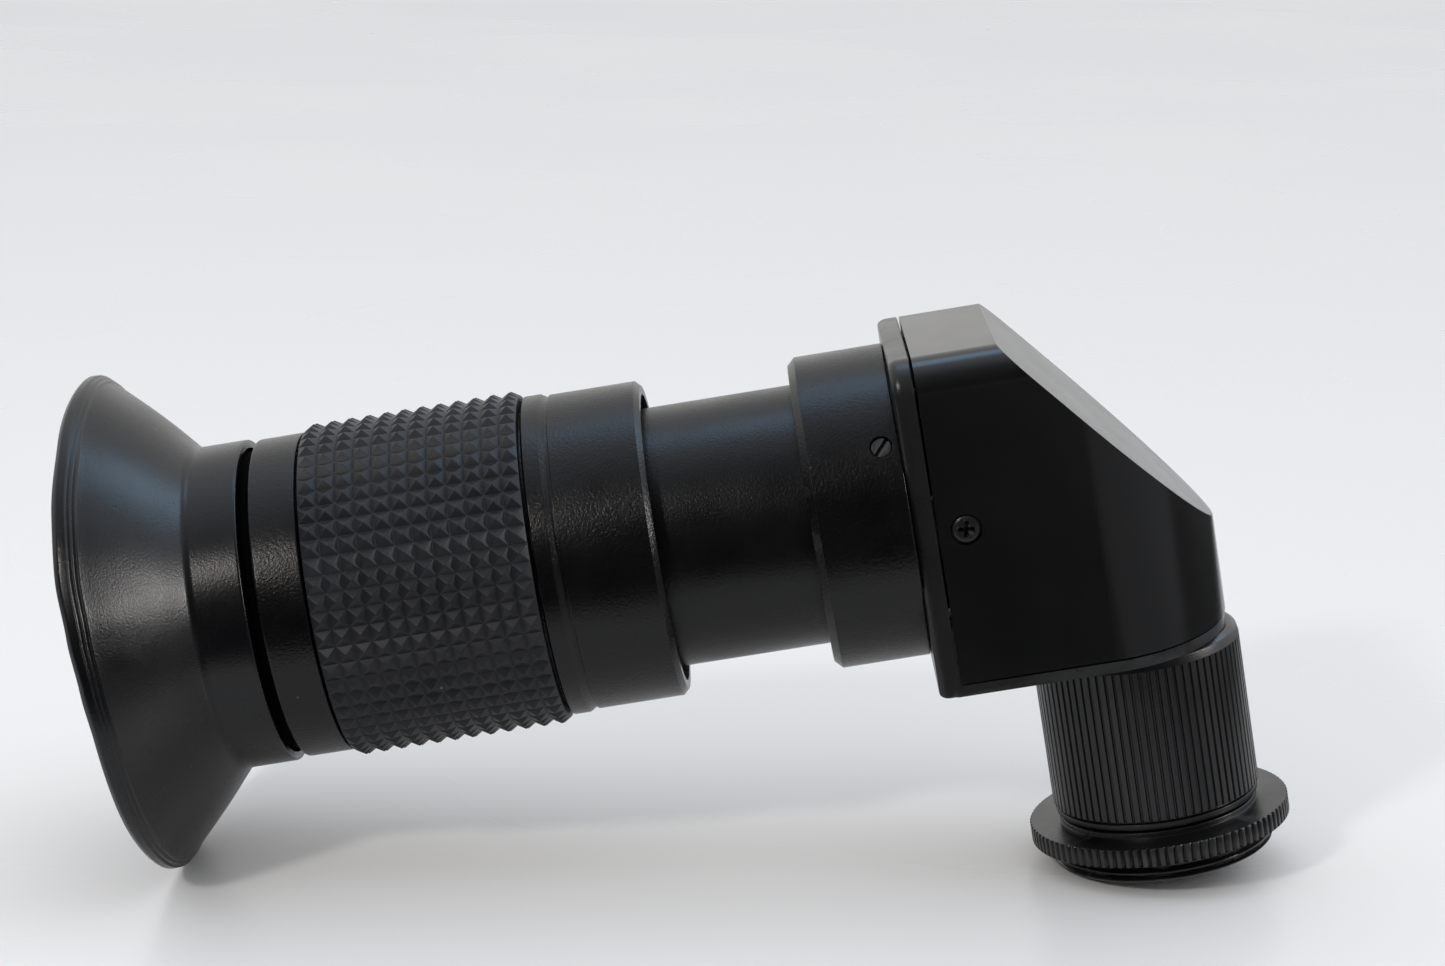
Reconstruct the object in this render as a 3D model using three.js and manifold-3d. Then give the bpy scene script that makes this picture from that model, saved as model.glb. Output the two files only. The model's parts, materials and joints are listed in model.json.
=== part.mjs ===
// Right-angle viewfinder attachment: a focusing eyepiece tube on a prism housing,
// with a swivelling threaded mount below the housing.
// Units are millimetres. It stands on +Z up, resting on its eyecup rim and its mount thread.
//
// Two axes meet at the prism's mirror point. The tube axis runs towards the eye,
// and distances along it are called s. The mount axis runs down out of the housing,
// and distances along it are called m. Half widths to either side are called w.

import * as THREE from 'three';
import { mergeVertices } from 'three/addons/utils/BufferGeometryUtils.js';
import Module from 'manifold-3d';

const wasm = await Module();
wasm.setup();

// ---------------------------------------------------------------- driving dimensions

const GAP = 0.25;          // between fixed neighbours
const RUN = 0.1;           // between a shaft and the bore it runs in
const FINE = 32;           // sides of the large turned pieces
const COARSE = 16;         // sides of the small turned pieces

// eyepiece tube, outside radii
const TUBE_R = 12.87;
const COLLAR_R = 15.5;
const BARREL_R = 15.7;
const BAND_R = 15.9;
const GRIP_R = 16.5;
const GRIP_SEAT_R = 14.9;
const CUP_NECK_R = 16.1;
const CUP_RIM_R = 24.8;

// stations along the tube axis, from the mirror point towards the eye
const PLATE_IN = 18.15;
const PLATE_OUT = 20.2;
const BOSS_END = 26;
const COLLAR_IN = 20.5;
const COLLAR_OUT = 29.7;
const BARREL_IN = 44.3;
const GRIP_IN = 56.25;
const GRIP_OUT = 77.65;
const BAND_IN = 77.95;
const BAND_OUT = 82.55;
const CUP_RING_IN = 82.8;
const CUP_IN = 83.6;
const CUP_CREASE = 88.7;
const RIM_TOUCH_S = 97.9;
const CUP_RIM = 99.05;

// prism housing
const HALF_W = 14.5;
const TOP = 16.05;
const BASE_IN = 15.6;
const BASE_OUT = 16.65;
const TOP_ROUND = 3.35;
const SLANT_TOP_S = 9.85;
const SLANT_SLOPE = 1.16;
const NOSE_CENTRE = 3.15;
const NOSE_REACH = 12.4;
const WALL = 1.3;

// mount
const SLEEVE_R = 10.3;
const SLEEVE_TOP = 17;
const RIB_END = 33.4;
const NECK_R = 7;
const CLIP_GROOVE_R = 6.4;
const UPPER_BORE_R = 5.7;
const BORE_R = 7.2;
const LOWER_NECK_R = 8.2;
const SLEEVE_END = 39.2;
const FLANGE_R = 12.95;
const FLANGE_TOP = 35.3;
const FLANGE_SEAT = 37.2;
const THREAD_R = 10.95;
const THREAD_RELIEF_R = 11.2;
const THREAD_END = 39.5;
const THREAD_PITCH = 0.75;

// lens edges, outside radii
const RELAY_LENS_R = 10.45;
const EYE_LENS_R = 10.7;
const OBJECTIVE_LENS_R = 7.05;

// the tube's head and the barrel's bores
const TUBE_BORE = 11.7;
const TUBE_SHOULDER = 27.2;
const TUBE_HEAD_R = 13.45;
const TUBE_HEAD_IN = 52.2;
const TUBE_HEAD_OUT = 60.2;
const BOSS_R = 13.95;
const COLLAR_BORE = 14.1;
const LARGE_BORE = 14.1;
const SMALL_BORE = 13.55;
const BORE_STEP = 66.3;
const KEY_S = 56.5;

// screws
const EAR_S = 15.6;
const EAR_W = 12.1;
const EAR_THICKNESS = 2.2;
const GRUB_S = 22;
const GRUB_R = 0.95;
const GRUB_ANGLE = 32.7;
const COVER_SCREW_S = 15.3;
const COVER_SCREW_M = 0.5;
const HOLDER_SCREW_M = -11.6;
const HOLDER_SCREW_W = 7.5;

// ---------------------------------------------------------------- materials

function finish(color, roughness, metalness) {
  return new THREE.MeshStandardMaterial({ color, roughness, metalness });
}

const anodised = () => finish(0x161719, 0.42, 0.6);
const anodisedFine = () => finish(0x1b1c1f, 0.5, 0.55);
const paint = () => finish(0x101113, 0.3, 0.2);
const rubber = () => finish(0x1c1d1f, 0.6, 0);
const gripRubber = () => finish(0x1f2023, 0.7, 0);
const innerBlack = () => finish(0x0c0c0d, 0.8, 0.1);
const blackSteel = () => finish(0x222326, 0.35, 0.8);
const springSteel = () => finish(0x9a9ca0, 0.3, 1);
const opticalGlass = () => finish(0xbfd0d6, 0.03, 0);

// ---------------------------------------------------------------- geometry helpers

function facingOut(geometry) {
  const position = geometry.attributes.position;
  const index = geometry.index;
  const [a, b, c] = [new THREE.Vector3(), new THREE.Vector3(), new THREE.Vector3()];
  let volume = 0;
  for (let i = 0; i < index.count; i += 3) {
    a.fromBufferAttribute(position, index.getX(i));
    b.fromBufferAttribute(position, index.getX(i + 1));
    c.fromBufferAttribute(position, index.getX(i + 2));
    volume += a.dot(b.cross(c));
  }
  if (volume < 0) {
    for (let i = 0; i < index.count; i += 3) {
      const first = index.getX(i);
      index.setX(i, index.getX(i + 1));
      index.setX(i + 1, first);
    }
  }
  return geometry;
}

function solid(geometry) {
  const bare = new THREE.BufferGeometry();
  bare.setAttribute('position', geometry.attributes.position.clone());
  if (geometry.index) bare.setIndex(geometry.index.clone());
  const merged = facingOut(mergeVertices(bare, 1e-4));
  return new wasm.Manifold(new wasm.Mesh({
    numProp: 3,
    vertProperties: new Float32Array(merged.attributes.position.array),
    triVerts: new Uint32Array(merged.index.array),
  }));
}

function geometryOf(manifold) {
  const mesh = manifold.getMesh();
  const geometry = new THREE.BufferGeometry();
  geometry.setAttribute('position', new THREE.BufferAttribute(mesh.vertProperties, 3));
  geometry.setIndex(new THREE.BufferAttribute(mesh.triVerts, 1));
  geometry.computeVertexNormals();
  return geometry;
}

function cut(body, ...tools) {
  return geometryOf(tools.reduce((left, tool) => left.subtract(solid(tool)), solid(body)));
}

function join(...pieces) {
  return geometryOf(pieces.map(solid).reduce((sum, piece) => sum.add(piece)));
}

// A profile of [s, r] points turned about the tube axis. Towards the eye is -X.
function turnedOnTube(profile, sides = FINE) {
  const points = profile.map(([s, r]) => new THREE.Vector2(r, s));
  return new THREE.LatheGeometry(points, sides).rotateZ(Math.PI / 2);
}

// A profile of [m, r] points turned about the mount axis, which runs down along -Z.
function turnedOnMount(profile, sides = FINE) {
  const points = profile.map(([m, r]) => new THREE.Vector2(r, -m)).reverse();
  return new THREE.LatheGeometry(points, sides).rotateX(Math.PI / 2);
}

function ringProfile(from, to, inner, outer, chamfer = 0) {
  return [
    [from, inner], [from, outer - chamfer], [from + chamfer, outer],
    [to - chamfer, outer], [to, outer - chamfer], [to, inner], [from, inner],
  ].filter((p, i, all) => i === 0 || p[0] !== all[i - 1][0] || p[1] !== all[i - 1][1]);
}

// A lens between two stations. A positive sag bulges outwards and a negative one is hollow.
function lensProfile(from, to, radius, sagFrom, sagTo) {
  const steps = 3;
  const profile = [];
  for (let i = 0; i <= steps; i += 1) {
    const r = radius * i / steps;
    profile.push([from - sagFrom * (1 - (r / radius) ** 2), r]);
  }
  for (let i = steps; i >= 0; i -= 1) {
    const r = radius * i / steps;
    profile.push([to + sagTo * (1 - (r / radius) ** 2), r]);
  }
  return profile;
}

function box(s, m, w, sLength, mLength, wLength) {
  return new THREE.BoxGeometry(sLength, wLength, mLength).translate(-s, w, -m);
}

// A cylinder across the housing, along +Y, from w = from to w = to.
function crossPin(s, m, from, to, radius, sides = 24) {
  const length = to - from;
  return new THREE.CylinderGeometry(radius, radius, length, sides)
    .translate(0, from + length / 2, 0)
    .translate(-s, 0, -m);
}

// A cylinder along the tube axis.
function tubePin(m, w, from, to, radius, sides = 20) {
  return turnedOnTube([[from, 0], [from, radius], [to, radius], [to, 0]], sides).translate(0, w, -m);
}

// A radial cylinder at station s, pointing away from the tube axis. Angle 0 faces -Y, 90 faces up.
function radialPin(s, angle, from, to, radius, sides = 20) {
  const length = to - from;
  return new THREE.CylinderGeometry(radius, radius, length, sides)
    .translate(0, from + length / 2, 0)
    .rotateX(THREE.MathUtils.degToRad(180 - angle))
    .translate(-s, 0, 0);
}

// ---------------------------------------------------------------- assembly

const scope = new THREE.Group();

function add(name, geometry, material) {
  const mesh = new THREE.Mesh(geometry, material);
  mesh.name = name;
  scope.add(mesh);
}

// ---------------------------------------------------------------- prism housing

// Outline of the housing seen from above: straight sides and a round nose.
function planShape(halfWidth, reach, rear) {
  const outline = new THREE.Shape();
  outline.moveTo(-rear, halfWidth);
  outline.lineTo(-NOSE_CENTRE, halfWidth);
  outline.absellipse(-NOSE_CENTRE, 0, reach, halfWidth, Math.PI / 2, -Math.PI / 2, true, 0);
  outline.lineTo(-rear, -halfWidth);
  outline.closePath();
  return outline;
}

// The plan extruded down between two levels.
function planBlock(halfWidth, reach, rear, from, to) {
  const depth = to - from;
  return new THREE.ExtrudeGeometry(planShape(halfWidth, reach, rear), {
    depth, bevelEnabled: false, curveSegments: 28,
  }).translate(0, 0, -to);
}

// Side view of the housing: flat top, slanted mirror side, upright nose.
function sideBlock(top, low, rear, front, slantShift, halfWidth) {
  const slantTop = SLANT_TOP_S + slantShift;
  const noseLevel = -top + SLANT_SLOPE * (slantTop - front);
  const outline = new THREE.Shape();
  outline.moveTo(-rear, top);
  outline.lineTo(-slantTop, top);
  outline.lineTo(-front, -noseLevel);
  outline.lineTo(-front, -low);
  outline.lineTo(-rear, -low);
  outline.closePath();
  return new THREE.ExtrudeGeometry(outline, { depth: 2 * halfWidth, bevelEnabled: false })
    .translate(0, 0, -halfWidth)
    .rotateX(Math.PI / 2);
}

// Cross-section seen from the eye: round upper corners.
function sectionShape(halfWidth, top, low, round) {
  const outline = new THREE.Shape();
  outline.moveTo(-halfWidth, -low);
  outline.lineTo(halfWidth, -low);
  outline.lineTo(halfWidth, top - round);
  outline.absarc(halfWidth - round, top - round, round, 0, Math.PI / 2, false);
  outline.lineTo(-halfWidth + round, top);
  outline.absarc(-halfWidth + round, top - round, round, Math.PI / 2, Math.PI, false);
  outline.closePath();
  return outline;
}

function sectionBlock(halfWidth, top, low, round, from, to) {
  return new THREE.ExtrudeGeometry(sectionShape(halfWidth, top, low, round), {
    depth: to - from, bevelEnabled: false, curveSegments: 6,
  }).rotateX(Math.PI / 2).rotateZ(-Math.PI / 2).translate(-from, 0, 0);
}

function housingForm(inset, rear, low) {
  const halfWidth = HALF_W - inset;
  const top = TOP - inset;
  const reach = NOSE_REACH - inset;
  const front = NOSE_CENTRE - reach;
  const slantShift = inset * (Math.hypot(1, SLANT_SLOPE) - 1) / SLANT_SLOPE;
  const plan = solid(planBlock(halfWidth, reach, rear, -top - 1, low));
  const side = solid(sideBlock(top, low, rear, front - 1, slantShift, halfWidth + 1));
  const section = solid(sectionBlock(halfWidth, top, low, TOP_ROUND - inset, front - 1, rear));
  return plan.intersect(side).intersect(section);
}

function coverGeometry() {
  const outer = housingForm(0, PLATE_IN - GAP, BASE_IN - GAP);
  const inner = housingForm(WALL, PLATE_IN + 1, BASE_IN + 1);
  let shell = outer.subtract(inner);
  for (const side of [-1, 1]) {
    const hole = crossPin(COVER_SCREW_S, COVER_SCREW_M, -20, 0, 1);
    const seat = crossPin(COVER_SCREW_S, COVER_SCREW_M, -20, -(HALF_W - 0.75), 1.65);
    for (const tool of [hole, seat]) {
      if (side > 0) {
        tool.rotateZ(Math.PI).translate(-2 * COVER_SCREW_S, 0, 0);
      }
      shell = shell.subtract(solid(tool));
    }
  }
  return geometryOf(shell);
}

function frontPlateGeometry() {
  const bevel = 0.7;
  const shape = sectionShape(HALF_W - bevel, TOP - bevel, BASE_OUT - bevel, TOP_ROUND - bevel);
  const plate = new THREE.ExtrudeGeometry(shape, {
    depth: PLATE_OUT - PLATE_IN - bevel,
    bevelEnabled: true,
    bevelThickness: bevel,
    bevelSize: bevel,
    bevelSegments: 3,
    curveSegments: 6,
  }).rotateX(Math.PI / 2).rotateZ(-Math.PI / 2);
  const trim = box(PLATE_IN - 2, 0, 0, 4, 60, 60);
  return cut(plate.translate(-PLATE_IN, 0, 0), trim);
}

function chassisGeometry() {
  const basePlate = planBlock(HALF_W, NOSE_REACH - 0.15, PLATE_IN + 0.5, BASE_IN, BASE_OUT);
  const boss = turnedOnTube(ringProfile(PLATE_IN + 0.5, BOSS_END, 11, BOSS_R, 0.2));
  const ears = [-1, 1].map((side) => box(EAR_S, COVER_SCREW_M, side * EAR_W, 6, 6, EAR_THICKNESS));
  const body = join(frontPlateGeometry(), basePlate, boss, ...ears);
  const lightHole = tubePin(0, 0, PLATE_IN - 1, PLATE_OUT + 1, 11, FINE);
  const neckHole = turnedOnMount([
    [BASE_IN - 1, 0], [BASE_IN - 1, NECK_R + RUN], [BASE_OUT + 1, NECK_R + RUN], [BASE_OUT + 1, 0],
  ]);
  const screwHoles = [-1, 1].map((side) => (
    crossPin(COVER_SCREW_S, COVER_SCREW_M, side * EAR_W - 1.6, side * EAR_W + 1.6, 0.95)
  ));
  const holderHoles = [-1, 1].map((side) => (
    tubePin(HOLDER_SCREW_M, side * HOLDER_SCREW_W, PLATE_IN - 1, PLATE_IN + 1.5, 0.85)
  ));
  return cut(body, lightHole, neckHole, ...screwHoles, ...holderHoles);
}

add('chassis', chassisGeometry(), anodisedFine());
add('housing_cover', coverGeometry(), paint());

// Pan-head cross-recess screw through the cover's side into the chassis ear.
function coverScrew() {
  const head = crossPin(COVER_SCREW_S, COVER_SCREW_M, -HALF_W + 0.1, -HALF_W + 0.7, 1.4, 24);
  const shank = crossPin(COVER_SCREW_S, COVER_SCREW_M, -HALF_W + 0.5, -11.2, 0.8, 16);
  const slots = [0, 1].map((turn) => new THREE.BoxGeometry(1.5, 0.6, 0.35)
    .rotateY(0.2 + turn * Math.PI / 2)
    .translate(-COVER_SCREW_S, -HALF_W + 0.1, -COVER_SCREW_M));
  return cut(join(head, shank), ...slots);
}

add('cover_screw_near', coverScrew(), blackSteel());
add('cover_screw_far', coverScrew().rotateZ(Math.PI).translate(-2 * COVER_SCREW_S, 0, 0), blackSteel());

// ---------------------------------------------------------------- prism and its holder

const PRISM_W = 8.2;
const PRISM_REAR = 9;
const PRISM_LOW = 5.4;
const CHEEK = 1.2;

function prismGeometry() {
  const outline = new THREE.Shape();
  outline.moveTo(-PRISM_REAR, PRISM_REAR - GAP);
  outline.lineTo(PRISM_LOW - GAP, -PRISM_LOW);
  outline.lineTo(-PRISM_REAR, -PRISM_LOW);
  outline.closePath();
  return new THREE.ExtrudeGeometry(outline, { depth: 2 * PRISM_W, bevelEnabled: false })
    .translate(0, 0, -PRISM_W)
    .rotateX(Math.PI / 2);
}

add('prism', prismGeometry(), opticalGlass());

// Bracket screwed to the inside of the front plate: two cheeks, a floor and a rear wall.
function prismHolder() {
  const rear = PLATE_IN - GAP;
  const front = -4.2;
  const length = rear - front;
  const middle = (rear + front) / 2;
  const width = 2 * (PRISM_W + GAP + CHEEK);
  const cheekW = (width - CHEEK) / 2;
  const cheeks = [-1, 1].map((side) => box(middle, -1.5, side * cheekW, length, 15, CHEEK));
  const floor = box(middle, PRISM_LOW + GAP + CHEEK / 2, 0, length, CHEEK, width);
  const wall = box(rear - CHEEK / 2, -3.15, 0, CHEEK, 20, width);
  const exitWindow = box(rear - CHEEK / 2, -1.5, 0, 4, 12, 13);
  const entryHole = turnedOnMount([[4, 0], [4, 5], [9, 5], [9, 0]], COARSE);
  const slantRelief = new THREE.BoxGeometry(60, 30, 20)
    .translate(0, 0, 10)
    .rotateY(Math.PI / 4)
    .translate(0.9, 0, 0.9);
  const body = cut(join(...cheeks, floor), slantRelief);
  const holes = [-1, 1].map((side) => (
    tubePin(HOLDER_SCREW_M, side * HOLDER_SCREW_W, rear - 3, rear + 1, 0.85)
  ));
  return cut(join(body, wall), exitWindow, entryHole, ...holes);
}

add('prism_holder', prismHolder(), innerBlack());

// Leaf spring bowed over the back of the prism.
function clampSpring() {
  const thickness = 0.35;
  const curve = new THREE.QuadraticBezierCurve(
    new THREE.Vector2(-7.2, 0.35), new THREE.Vector2(0, 1.3), new THREE.Vector2(7.2, 0.35),
  );
  const lower = curve.getPoints(10);
  const upper = lower.map((p) => new THREE.Vector2(p.x, p.y + thickness)).reverse();
  const leaf = new THREE.Shape([...lower, ...upper]);
  const depth = 8;
  return new THREE.ExtrudeGeometry(leaf, { depth, bevelEnabled: false })
    .translate(0, 0, -depth / 2)
    .rotateX(Math.PI / 2)
    .rotateY(Math.PI / 4)
    .translate(-1, 0, 1);
}

add('prism_clamp_spring', clampSpring(), springSteel());

function holderScrew(side) {
  const rear = PLATE_IN - GAP;
  const head = tubePin(HOLDER_SCREW_M, side * HOLDER_SCREW_W, rear - 2, rear - 1.3, 1.3);
  const shank = tubePin(HOLDER_SCREW_M, side * HOLDER_SCREW_W, rear - 1.4, rear + 1.5, 0.7, 16);
  return join(head, shank);
}

add('holder_screw_near', holderScrew(-1), blackSteel());
add('holder_screw_far', holderScrew(1), blackSteel());

// ---------------------------------------------------------------- collar, grub screws, inner tube

const grubAngles = [0, 1, 2].map((turn) => GRUB_ANGLE + 120 * turn);

function collarGeometry() {
  const chamfer = 0.75;
  const noseBore = TUBE_R + RUN + 0.05;
  const ring = turnedOnTube([
    [COLLAR_IN, COLLAR_BORE], [COLLAR_IN, COLLAR_R - 0.2], [COLLAR_IN + 0.2, COLLAR_R],
    [COLLAR_OUT - chamfer, COLLAR_R], [COLLAR_OUT, COLLAR_R - chamfer], [COLLAR_OUT, noseBore],
    [TUBE_SHOULDER + 0.2, noseBore], [TUBE_SHOULDER + 0.2, COLLAR_BORE], [COLLAR_IN, COLLAR_BORE],
  ]);
  return cut(ring, ...grubAngles.map((angle) => radialPin(GRUB_S, angle, 13, 17, GRUB_R + 0.12)));
}

function grubScrew(angle) {
  const body = radialPin(GRUB_S, angle, BOSS_R + RUN, COLLAR_R - GAP, GRUB_R);
  const slot = new THREE.BoxGeometry(0.35, 1, 3)
    .rotateY(THREE.MathUtils.degToRad(-50))
    .translate(0, 15.4, 0)
    .rotateX(THREE.MathUtils.degToRad(180 - angle))
    .translate(-GRUB_S, 0, 0);
  return cut(body, slot);
}

add('collar', collarGeometry(), anodised());
grubAngles.forEach((angle, i) => add(`grub_screw_${i + 1}`, grubScrew(angle), blackSteel()));

function innerTube() {
  const tube = turnedOnTube([
    [BOSS_END + 0.2, TUBE_BORE], [BOSS_END + 0.2, BOSS_R], [TUBE_SHOULDER, BOSS_R],
    [TUBE_SHOULDER, TUBE_R], [TUBE_HEAD_IN, TUBE_R], [TUBE_HEAD_IN, TUBE_HEAD_R],
    [TUBE_HEAD_OUT, TUBE_HEAD_R], [TUBE_HEAD_OUT, TUBE_BORE],
    [BOSS_END + 0.2, TUBE_BORE],
  ]);
  return cut(tube, box(KEY_S, 12, 0, 2.3, 4, 2.3));
}

add('inner_tube', innerTube(), anodisedFine());
add('guide_key', box(KEY_S, 12, 0, 2, 2.5, 2), blackSteel());

// ---------------------------------------------------------------- relay lens group

add('relay_cell', turnedOnTube([
  [30, 9.6], [30, 11.5], [43.4, 11.5], [43.4, 10.6], [31.2, 10.6], [31.2, 9.6], [30, 9.6],
], COARSE), innerBlack());
add('relay_lens_front', turnedOnTube(
  lensProfile(32.2, 35.2, RELAY_LENS_R, 0.9, 0.7), COARSE,
), opticalGlass());
add('relay_spacer', turnedOnTube(ringProfile(35.5, 38, 9.5, RELAY_LENS_R), COARSE), innerBlack());
add('relay_lens_rear', turnedOnTube(
  lensProfile(38.8, 41.4, RELAY_LENS_R, 0.5, 0.4), COARSE,
), opticalGlass());
add('relay_retaining_ring', turnedOnTube(
  ringProfile(42, 43.3, 9.4, RELAY_LENS_R), COARSE,
), blackSteel());

// ---------------------------------------------------------------- eyepiece cell and lenses

function eyepieceCell() {
  const cell = turnedOnTube([
    [50, 9.9], [50, 11.55], [66.6, 11.55], [66.6, 13.95], [69.1, 13.95], [69.1, 12.15],
    [84.2, 12.15], [84.2, 10.9], [66, 10.9], [66, 9.9], [50, 9.9],
  ]);
  return cut(cell, box(56.9, 12.2, 0, 14.2, 3, 2.3));
}

add('eyepiece_cell', eyepieceCell(), innerBlack());
add('field_stop', turnedOnTube(ringProfile(52, 53, 7, 9.75), COARSE), innerBlack());
add('field_lens', turnedOnTube(
  lensProfile(67.4, 69.6, EYE_LENS_R, 1, 0.8), COARSE,
), opticalGlass());
add('lens_spacer_rear', turnedOnTube(
  ringProfile(69.8, 72, 9.7, EYE_LENS_R), COARSE,
), innerBlack());
add('middle_lens', turnedOnTube(
  lensProfile(72.9, 74.7, EYE_LENS_R, 0.5, 0.7), COARSE,
), opticalGlass());
add('lens_spacer_front', turnedOnTube(
  ringProfile(74.9, 76.7, 9.9, EYE_LENS_R), COARSE,
), innerBlack());
add('eye_lens', turnedOnTube(
  lensProfile(77.3, 79.9, EYE_LENS_R, 0.3, 0.9), COARSE,
), opticalGlass());
add('eye_lens_ring', turnedOnTube(
  ringProfile(80.1, 82.6, 9.6, EYE_LENS_R, 0.3), COARSE,
), anodised());

// ---------------------------------------------------------------- focusing barrel

add('focus_barrel', turnedOnTube([
  [BARREL_IN, 14.3], [BARREL_IN, BARREL_R - 0.55], [BARREL_IN + 0.55, BARREL_R],
  [53.6, BARREL_R], [53.85, BARREL_R - 0.25], [54.1, BARREL_R + 0.2], [55.8, BARREL_R + 0.2],
  [56, BARREL_R - 0.1], [56, GRIP_SEAT_R], [GRIP_OUT, GRIP_SEAT_R], [GRIP_OUT, LARGE_BORE],
  [BORE_STEP, LARGE_BORE], [BORE_STEP, SMALL_BORE], [48.2, SMALL_BORE], [48.2, 13], [47, 13], [47, 14.3],
  [BARREL_IN, 14.3],
]), anodised());

const gripProfile = ringProfile(GRIP_IN, GRIP_OUT, GRIP_SEAT_R + RUN, GRIP_R, 0.35);
add('rubber_grip', turnedOnTube(gripProfile), gripRubber());

add('front_band', turnedOnTube([
  [69.4, 12.35], [69.4, 14], [BAND_IN, 14], [BAND_IN, BAND_R - 0.25], [BAND_IN + 0.25, BAND_R],
  [BAND_OUT - 0.4, BAND_R], [BAND_OUT, BAND_R - 0.4], [BAND_OUT, 13.9], [87.2, 13.9], [87.4, 13.7],
  [87.4, 12.35], [69.4, 12.35],
]), anodised());

// ---------------------------------------------------------------- eyecup

const cupRingProfile = ringProfile(CUP_RING_IN, 87.6, 14.05, GRIP_SEAT_R, 0.15);
add('eyecup_ring', turnedOnTube(cupRingProfile), innerBlack());

// Soft cup: a short neck, a flare that swells slightly outwards, and a beaded rim.
function eyecupProfile() {
  const flare = new THREE.QuadraticBezierCurve(
    new THREE.Vector2(CUP_CREASE, CUP_NECK_R),
    new THREE.Vector2(92, 19.7),
    new THREE.Vector2(95.9, 23.1),
  );
  const outer = flare.getPoints(4).map((p) => [p.x, p.y]);
  return [
    [CUP_IN, CUP_NECK_R - 0.85], [CUP_IN, CUP_NECK_R - 0.35], [CUP_IN + 0.35, CUP_NECK_R],
    ...outer,
    [96.2, 24.05], [96.9, 24.5], [RIM_TOUCH_S, CUP_RIM_R], [98.7, CUP_RIM_R - 0.15],
    [CUP_RIM, CUP_RIM_R - 0.6], [98.8, 23.45], [97.2, 22.1], [89.9, 14.6], [89.2, 13.6],
    [89.2, 12.6], [87.9, 12.6], [87.9, CUP_NECK_R - 0.85], [CUP_IN, CUP_NECK_R - 0.85],
  ];
}

add('eyecup', turnedOnTube(eyecupProfile()), rubber());

// ---------------------------------------------------------------- swivelling mount

function ribbedSleeve() {
  return turnedOnMount([
    [13, UPPER_BORE_R], [13, NECK_R - 0.2], [13.2, NECK_R], [13.9, NECK_R], [13.9, CLIP_GROOVE_R],
    [14.9, CLIP_GROOVE_R], [14.9, NECK_R], [SLEEVE_TOP, NECK_R], [SLEEVE_TOP, 9.6],
    [17.5, 10.15], [18.3, SLEEVE_R], [RIB_END, SLEEVE_R],
    [33.5, 9.8], [33.7, 9.8], [33.8, 10.05], [34.4, 10.05], [34.5, 9.9], [34.5, LOWER_NECK_R],
    [38.45, LOWER_NECK_R], [38.45, 7.8], [39.05, 7.8], [39.05, LOWER_NECK_R], [SLEEVE_END, LOWER_NECK_R],
    [SLEEVE_END, BORE_R], [20.5, BORE_R], [20.5, UPPER_BORE_R], [13, UPPER_BORE_R],
  ]);
}

add('ribbed_sleeve', ribbedSleeve(), anodised());

// Open retaining clip seated in a groove of the neck.
function clipGeometry(inner, outer, from, to) {
  const opening = 0.35;
  const outline = new THREE.Shape();
  outline.absarc(0, 0, outer, opening, 2 * Math.PI - opening, false);
  outline.absarc(0, 0, inner, 2 * Math.PI - opening, opening, true);
  outline.closePath();
  return new THREE.ExtrudeGeometry(outline, {
    depth: to - from, bevelEnabled: false, curveSegments: 20,
  }).translate(0, 0, -to);
}

add('swivel_clip', clipGeometry(CLIP_GROOVE_R + RUN, 7.7, 13.95, 14.7), springSteel());
add('swivel_washer', turnedOnMount(ringProfile(14.9, 15.45, NECK_R + RUN, 7.7)), springSteel());
add('objective_lens', turnedOnMount(
  lensProfile(21.6, 23.6, OBJECTIVE_LENS_R, 0.7, 0.6), COARSE,
), opticalGlass());
add('objective_spacer', turnedOnMount(
  ringProfile(23.9, 26.6, 6.3, OBJECTIVE_LENS_R), COARSE,
), innerBlack());
add('objective_rear_lens', turnedOnMount(
  lensProfile(27.2, 29, OBJECTIVE_LENS_R, 0.4, 0.4), COARSE,
), opticalGlass());
add('objective_retaining_ring', turnedOnMount(
  ringProfile(29.6, 31, 6.2, OBJECTIVE_LENS_R), COARSE,
), blackSteel());

// ---------------------------------------------------------------- threaded lock ring

function lockRing() {
  const thread = [];
  const firstCrest = FLANGE_SEAT + 0.55;
  for (let turn = 0; turn < 2; turn += 1) {
    const crest = firstCrest + turn * THREAD_PITCH;
    thread.push([crest - 0.2, THREAD_R - 0.4], [crest, THREAD_R], [crest + 0.15, THREAD_R]);
    thread.push([crest + 0.35, THREAD_R - 0.4]);
  }
  const ring = turnedOnMount([
    [34.75, LOWER_NECK_R + RUN], [34.75, 9.75], [34.9, 9.9], [FLANGE_TOP, 9.9],
    [FLANGE_TOP, FLANGE_R - 0.25], [FLANGE_TOP + 0.25, FLANGE_R],
    [FLANGE_SEAT - 0.2, FLANGE_R], [FLANGE_SEAT, FLANGE_R - 0.2], [FLANGE_SEAT, THREAD_RELIEF_R],
    [FLANGE_SEAT - 0.3, THREAD_RELIEF_R], [FLANGE_SEAT - 0.3, THREAD_R - 0.4],
    ...thread,
    [THREAD_END - 0.25, THREAD_R], [THREAD_END, THREAD_R - 0.25], [THREAD_END, 9.6],
    [38.3, 9.6], [38.3, LOWER_NECK_R + RUN], [34.75, LOWER_NECK_R + RUN],
  ]);
  const spannerHoles = [-1, 1].map((side) => new THREE.CylinderGeometry(0.35, 0.35, 1.6, 12)
    .rotateX(Math.PI / 2)
    .translate(side * 10.9, 0, -FLANGE_TOP));
  return cut(ring, ...spannerHoles);
}

add('lock_ring', lockRing(), anodised());
add('lock_ring_clip', clipGeometry(7.9, 9.3, 38.5, 39), springSteel());

// ---------------------------------------------------------------- resting pose

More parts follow.
